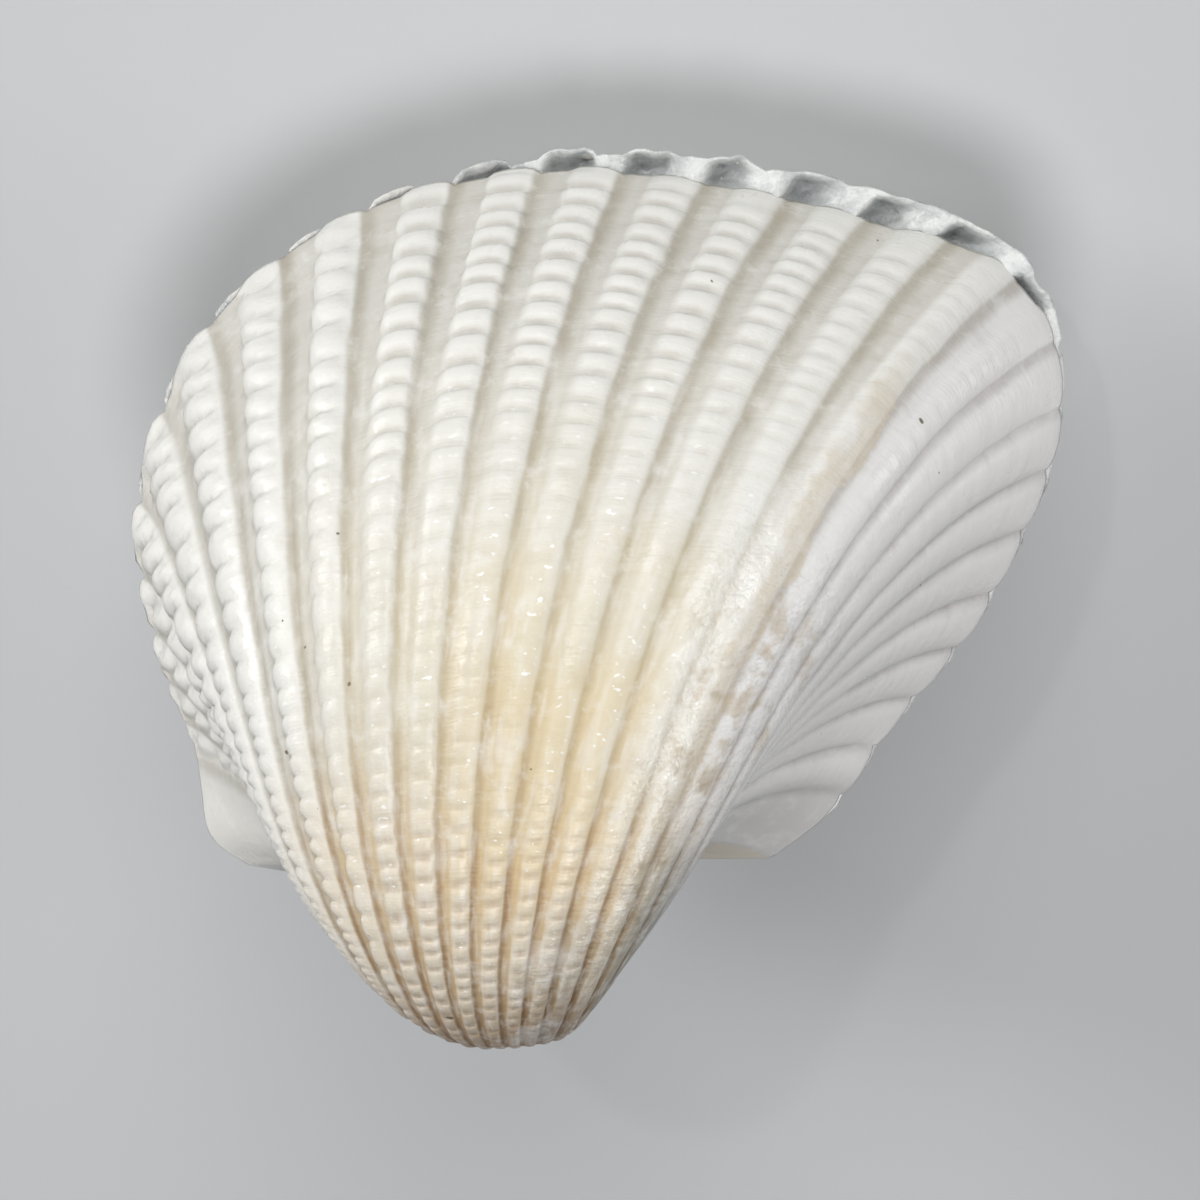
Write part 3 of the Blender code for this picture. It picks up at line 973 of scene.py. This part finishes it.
def outside_material(line_group):
    """White ribs, tan grooves, a warm cream body that browns towards the beak, grey flanks, with
    painted shade and painted highlights.
    """
    material, tree, shader = new_material("rubbed_shell_outside", 0.4)
    place = object_place(tree)
    growth = growth_place(tree)
    rib, even_turn = rib_and_turn(growth)
    beads = mask(tree, "beads")
    lines, dark_lines, light_lines = grown_lines(growth, line_group)
    share = rib.fract()
    turn = even_turn + (place.noise(90.0) - 0.5) * 0.6

    # Where the colours lie: white at the edge, cream and tan towards the beak, pale on the flank
    cream = turn.fade(0.25, 1.0) * rib.band((7.0, 9.5), (15.0, 17.5))
    tan = turn.fade(0.85, 1.45) * rib.band((4.0, 9.0), (17.0, 20.0))
    flank = rib.fade(16.3, 17.6)

    def by_place(white, creamy, tanned, pale):
        return tan.mix(flank.mix(cream.mix(white, creamy), pale), tanned)

    ridge = by_place(RIDGE_WHITE, RIDGE_CREAM, RIDGE_TAN, FLANK_WHITE)
    groove = by_place(GROOVE_GREY, GROOVE_CREAM, GROOVE_TAN, FLANK_WHITE)
    foot = by_place(FOOT_GREY, FOOT_CREAM, FOOT_BROWN, FLANK_FOOT)

    # Grooves between the ribs, and the dark foot of each rib: their own grey and tan, darkened
    # further with painted shade in the recesses
    floor = 1.0 - mask(tree, "form").fade(0.05, 0.7)
    blotch = place.noise(210.0, 4.0, 0.65)
    off_ears = rib.band((-0.4, 0.6), (25.4, 26.2))
    between = share.fade(0.26, 0.48, 0.8, 0.0) * rib.fade(16.0, 17.0, 1.0, 0.0)
    between = between * off_ears * turn.fade(1.4, 1.8, 1.0, 0.0)
    colour = (floor * 0.85).most(between).mix(ridge, groove)
    ragged = share + (blotch - 0.5) * 0.16
    at_foot = ragged.fade(0.02, 0.22, 1.0, 0.0).most(ragged.fade(0.90, 0.98))
    at_foot = at_foot * rib.fade(5.5, 8.0, 0.15, 1.0) * rib.fade(17.0, 19.0, 1.0, 0.65)
    at_foot = at_foot * blotch.fade(0.3, 0.65, 1.0, 0.65) * off_ears
    colour = (at_foot * 0.85).mix(colour, foot)

    # Crevices between the beads, darkened as dirt and painted shade, and the darker and lighter
    # lines of growth
    gap = bead_gap(mask(tree, "phase"), rib, share)
    colour = (gap * beads * 0.42).mix(colour, foot)
    in_grooves = floor.fade(0.0, 1.0, 0.4, 1.0) * off_ears.fade(0.0, 1.0, 0.3, 1.0)
    colour = (dark_lines * in_grooves * 0.20).mix(colour, foot)
    colour = (light_lines * in_grooves * 0.10).mix(colour, ridge)

    # Brown beak, deepest in its grooves and at its tip, where part of the darkening is painted
    # shade, and warm bloom in the middle
    brown = turn.fade(1.4, 2.15) * rib.fade(4.0, 9.0, 0.35, 1.0)
    brown = brown * floor.most(turn.fade(1.55, 2.15, 0.25, 1.0))
    colour = brown.mix(colour, BEAK_BROWN, "MULTIPLY")
    bloom = rib.band((9.5, 13.0), (14.3, 16.5)) * turn.band((0.55, 1.05), (1.25, 1.6), 0.2)
    colour = bloom.mix(colour, YOLK_TINT, "MULTIPLY")

    # Wear: a tan furrow and a chalky strip on the rear ridge, a scar at the beak, stains round them
    strayed = rib + (blotch - 0.5) * 1.2
    furrow = strayed.band((16.4, 16.65), (16.95, 17.05)) * turn.band((0.1, 0.3), (1.3, 1.7), 0.3)
    colour = (furrow * 0.6).mix(colour, FURROW_TAN)
    scar = strayed.band((13.3, 13.8), (15.4, 16.0)) * turn.band((1.55, 1.7), (2.1, 2.3))
    scar = scar * blotch.fade(0.44, 0.54)
    chalky = strayed.band((15.6, 15.9), (16.2, 16.45)) * turn.band((0.35, 0.55), (0.95, 1.2))
    chalky = chalky.most(scar)
    colour = (chalky * 0.35).mix(colour, CHALK_AND_GLINT_WHITE)
    stained = strayed.band((15.0, 16.0), (18.5, 20.5)) * turn.band((0.5, 0.8), (1.6, 2.0))
    stained = stained.most(scar) * place.noise(330.0, 3.0, 0.7).fade(0.5, 0.66)
    colour = (stained * 0.7).mix(colour, STAIN_TAN)

    # Painted shade: greyer under the beak and on the ears
    painted_shade = turn.fade(1.0, 1.5) * rib.fade(15.8, 18.0)
    painted_shade = painted_shade.most(turn.fade(1.35, 1.6) * rib.fade(13.6, 15.4, 0.0, 0.45))
    ears = rib.fade(25.3, 25.9, 0.0, 0.40).most(rib.fade(0.4, -0.4, 0.0, 0.2))
    colour = painted_shade.most(ears).mix(colour, PAINTED_SHADE_GREY, "MULTIPLY")

    # Milky patches, specks, rubbed streaks, small painted highlights (glints) and pits
    milky = place.noise(620.0, 3.0, 0.7)
    colour = milky.fade(0.50, 0.75, 0.0, 0.35).mix(colour, CHALK_WHITE)
    specks = milky.fade(0.42, 0.25, 0.0, 0.14) * flank.fade(0.0, 1.0, 1.0, 0.3)
    colour = specks.mix(colour, foot)
    streak = growth.stretched((4.0, 9.0, 1.0)).noise(1.0, 2.0)
    rubbed = streak.fade(0.45, 0.7, 0.0, 0.3) * turn.fade(0.2, 0.5) * off_ears
    colour = rubbed.mix(colour, CHALK_WHITE)
    dash = growth.stretched((5.0, 85.0, 1.0)).noise(1.0, 1.0)
    # Painted highlights: small white dashes on the rib tops
    painted_glint = dash.fade(0.64, 0.71) * blotch.fade(0.42, 0.54)
    painted_glint = painted_glint * share.band((0.42, 0.55), (0.78, 0.9))
    painted_glint = painted_glint * turn.band((0.3, 0.6), (1.6, 1.9), 0.2) * rib.band((5.0, 8.0), (15.5, 17.5))
    colour = (painted_glint * 0.85).mix(colour, CHALK_AND_GLINT_WHITE)
    pits = place.noise(1000.0, 1.0).fade(0.80, 0.82) * off_ears
    colour = pits.mix(colour, PIT_BROWN)

    # Satin with glossy spots, a skin of growth lines and grain, ragged where the shell is worn
    rough = blotch.fade(0.35, 0.6, 0.26, 0.45) + floor * 0.12 - painted_glint.most(chalky) * 0.18
    height = lines * 0.8 + place.noise(1500.0, 2.0) * 0.3
    height = height + milky * flank.fade(0.0, 1.0, 0.8, 0.4)
    normal = height.bump(0.5, 0.00016)
    worn_strip = rib.band((15.0, 16.0), (18.5, 20.5)) * even_turn.band((0.4, 0.75), (1.6, 2.0))
    worn_tip = rib.band((13.3, 13.8), (15.4, 16.0)) * even_turn.band((1.55, 1.7), (2.1, 2.3))
    worn = worn_strip.most(worn_tip * 0.7)
    normal = (place.noise(420.0, 4.0, 0.6) * worn).bump(0.8, 0.0006, normal)
    normal = ((1.0 - gap) * beads).bump(0.3, 0.0001, normal)
    finish_with(tree, shader, colour, rough, normal)
    return material


def inside_material():
    """Smooth porcelain white, with a grey tint and painted shade in the sockets of the edge."""
    material, tree, shader = new_material("porcelain_shell_inside", 0.3)
    place = object_place(tree)
    rib, turn = rib_and_turn(growth_place(tree))
    cloud = place.noise(260.0, 4.0)
    colour = cloud.fade(0.4, 0.75, 0.0, 0.6).mix(PORCELAIN, PORCELAIN_GREY)
    near_edge = turn.fade(-1.05, -0.95)
    colour = (rib.fade(8.5, 10.5, 1.0, 0.35) * near_edge).mix(colour, EDGE_CREAM)
    patches = place.noise(480.0, 4.0, 0.65)
    colour = (near_edge * patches.fade(0.40, 0.62, 0.15, 0.80)).mix(colour, RIM_GREY)
    # Painted shade in the sockets, over a grey tint
    socket = mask(tree, "socket").fade(0.1, 1.3) * patches.fade(0.3, 0.55, 1.0, 0.45)
    colour = socket.mix(colour, SOCKET_SHADE_GREY)
    skin = patches * near_edge.fade(0.0, 1.0, 0.1, 1.0)
    finish_with(tree, shader, colour, cloud.fade(0.3, 0.7, 0.22, 0.4), skin.bump(0.7, 0.0006))
    return material


def hinge_material(line_group):
    """Chalky hinge area, stained in its grooves."""
    material, tree, shader = new_material("hinge_area", 0.55)
    place = object_place(tree)
    lines = grown_lines(growth_place(tree), line_group)[0]
    cloud = place.noise(300.0, 4.0)
    count = mask(tree, "chevrons") + cloud * 0.35
    groove = count.calc("ABSOLUTE", count.fract() - 0.5)
    groove = groove.fade(0.30, 0.46) * mask(tree, "grooved")
    stain = groove * cloud.fade(0.3, 0.6, 0.5, 1.0) * 0.8
    colour = lines.fade(0.4, 0.6, 0.0, 0.35).mix(HINGE_CHALK, GROOVE_CREAM)
    colour = stain.mix(colour, HINGE_STAIN)
    normal = (lines + place.noise(1200.0) * 0.5).bump(0.4, 0.00015)
    normal = (1.0 - groove).bump(0.6, 0.0002, normal)
    finish_with(tree, shader, colour, cloud.fade(0.3, 0.7, 0.5, 0.75), normal)
    return material


def ligament_material():
    """Dried, horny band: nearly black in its folds, with brown fibres and a dull shine."""
    material, tree, shader = new_material("dried_ligament", 0.5)
    place = object_place(tree)
    folds = mask(tree, "folds")
    fibre = place.stretched((260.0, 1500.0, 1500.0)).noise(1.0, 4.0, 0.6)
    cloud = place.noise(350.0, 4.0)
    colour = folds.fade(0.2, 0.95).mix(LIGAMENT_BLACK, LIGAMENT_BROWN)
    fibrous = fibre.fade(0.5, 0.7, 0.0, 0.8) * folds.fade(0.3, 0.9)
    colour = fibrous.mix(colour, LIGAMENT_FIBRE)
    normal = (fibre + cloud).bump(0.5, 0.00012)
    finish_with(tree, shader, colour, cloud.fade(0.35, 0.65, 0.35, 0.65), normal)
    return material


# ---- camera, light, ground -------------------------------------------------------------------

CAMERA_PLACE = Vector((0.01315, 0.15936, 0.26609))
CAMERA_AIM = Vector((0.00005, 0.00197, 0.02292))
CAMERA_UP = Vector((0.01425, 0.83906, -0.54384))
LENS = 134.56

# Soft lights: name, place, size, power
SOFT_LIGHTS = (
    ("top", (0.03, -0.03, 0.97), 0.45, 3.9),
    ("key", (0.04, 0.77, 0.58), 0.45, 2.7),
    ("left_side", (-0.68, 0.56, 0.39), 0.45, 4.2),
    ("right_side", (0.94, 0.14, 0.20), 0.45, 2.2),
    ("sparkle", (-0.14, 0.55, 0.62), 0.03, 0.45),
)


def add_camera():
    data = bpy.data.cameras.new("camera")
    data.lens = LENS
    data.sensor_width = 36.0
    data.clip_start = 0.01
    data.clip_end = 10.0
    camera = bpy.data.objects.new("camera", data)
    bpy.context.collection.objects.link(camera)
    back = (CAMERA_PLACE - CAMERA_AIM).normalized()
    right = CAMERA_UP.cross(back).normalized()
    up = back.cross(right)
    turn = Matrix((right, up, back)).transposed().to_4x4()
    camera.matrix_world = Matrix.Translation(CAMERA_PLACE) @ turn
    bpy.context.scene.camera = camera


def add_soft_light(name, place, size, power):
    data = bpy.data.lights.new(name, "AREA")
    data.shape = "DISK"
    data.size = size
    data.energy = power
    light = bpy.data.objects.new(name, data)
    bpy.context.collection.objects.link(light)
    light.location = place
    light.rotation_euler = Vector(place).to_track_quat("Z", "Y").to_euler()


def add_ground():
    bpy.ops.object.select_all(action="DESELECT")
    bpy.ops.mesh.primitive_plane_add(size=4.0, location=(0.0, 0.0, 0.0))
    ground = bpy.context.object
    ground.name = "ground"
    material, _, shader = new_material("pale_ground", 0.9)
    shader.inputs["Base Color"].default_value = GROUND_GREY
    ground.data.materials.append(material)


def set_tone():
    """Plain tones, so that a white shell stays white."""
    bpy.context.scene.view_settings.view_transform = "Standard"


def add_world():
    world = bpy.data.worlds.new("studio")
    world.use_nodes = True
    background = world.node_tree.nodes["Background"]
    background.inputs["Color"].default_value = STUDIO_WHITE
    background.inputs["Strength"].default_value = STUDIO_STRENGTH
    bpy.context.scene.world = world


def add_piece(name, mesh, node):
    piece = bpy.data.objects.new(name, mesh)
    bpy.context.collection.objects.link(piece)
    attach(piece, "root")
    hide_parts(node)


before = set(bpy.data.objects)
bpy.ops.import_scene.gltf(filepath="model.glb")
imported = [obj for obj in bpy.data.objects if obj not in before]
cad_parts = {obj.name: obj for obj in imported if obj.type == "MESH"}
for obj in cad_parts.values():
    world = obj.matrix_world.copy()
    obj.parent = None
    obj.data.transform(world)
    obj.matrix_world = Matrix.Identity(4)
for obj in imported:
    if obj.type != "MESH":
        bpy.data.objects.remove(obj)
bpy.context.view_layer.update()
line_group = growth_line_group()
finishes = (outside_material(line_group), inside_material(), hinge_material(line_group))
right_grid = valve_grid(0.0, RIGHT_SEED, left=False)
left_grid = valve_grid(LEFT_RIB_SHIFT, LEFT_SEED, left=True)
right_shell = grid_mesh("right_valve_shell", right_grid, finishes)
left_shell = grid_mesh("left_valve_shell", left_grid, finishes)
ligament = ligament_mesh("ligament_band", ligament_material())
add_piece("right_valve_shell", right_shell, "right_valve")
add_piece("left_valve_shell", left_shell, "left_valve")
add_piece("ligament_band", ligament, "ligament")
add_ground()
add_world()
for soft_light in SOFT_LIGHTS:
    add_soft_light(*soft_light)
add_camera()
set_tone()
